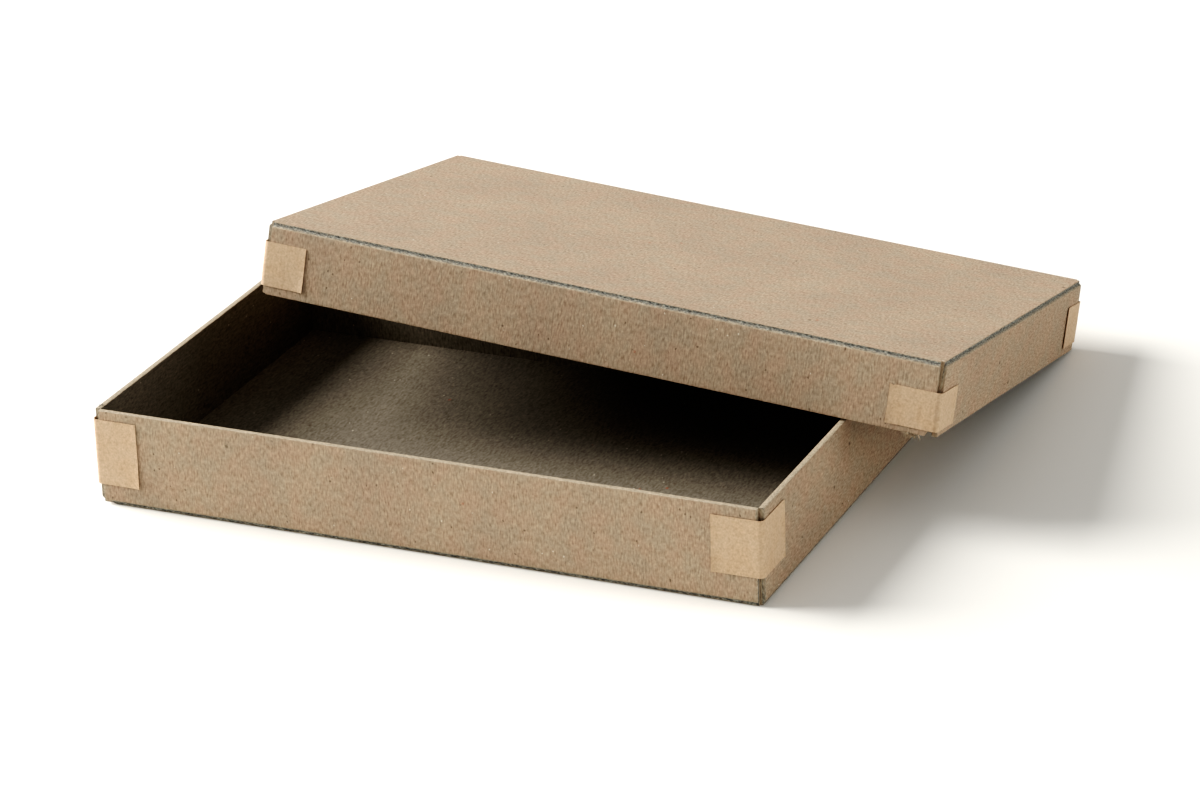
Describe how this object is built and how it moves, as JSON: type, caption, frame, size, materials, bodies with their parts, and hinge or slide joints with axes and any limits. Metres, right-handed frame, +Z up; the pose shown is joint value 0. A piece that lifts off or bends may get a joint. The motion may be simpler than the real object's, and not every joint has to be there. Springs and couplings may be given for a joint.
{
  "type": "folio box",
  "caption": "Shallow chipboard folio box with a folded tray and a lift-off lid leaning askew on it, corners held by pasted paper stays.",
  "frame": {"origin": "centre of the tray's flat underside", "axes": "+Z up out of the open tray, +X along the tray's long front wall to the right, +Y from the front wall to the back wall"},
  "size_m": [0.1916, 0.1679, 0.0537],
  "materials": {
    "chipboard": "bare recycled chipboard, matt, mottled grey brown with fibre specks",
    "kraft_stay": "bare kraft stay paper, smooth and matt"
  },
  "bodies": {
    "root": {"tray": "chipboard", "lid": "chipboard", "tray_stay_front_left": "kraft_stay", "tray_stay_front_right": "kraft_stay", "tray_stay_back_left": "kraft_stay", "tray_stay_back_right": "kraft_stay", "lid_stay_front_left": "kraft_stay", "lid_stay_front_right": "kraft_stay", "lid_stay_back_left": "kraft_stay", "lid_stay_back_right": "kraft_stay"}
  },
  "joints": []
}
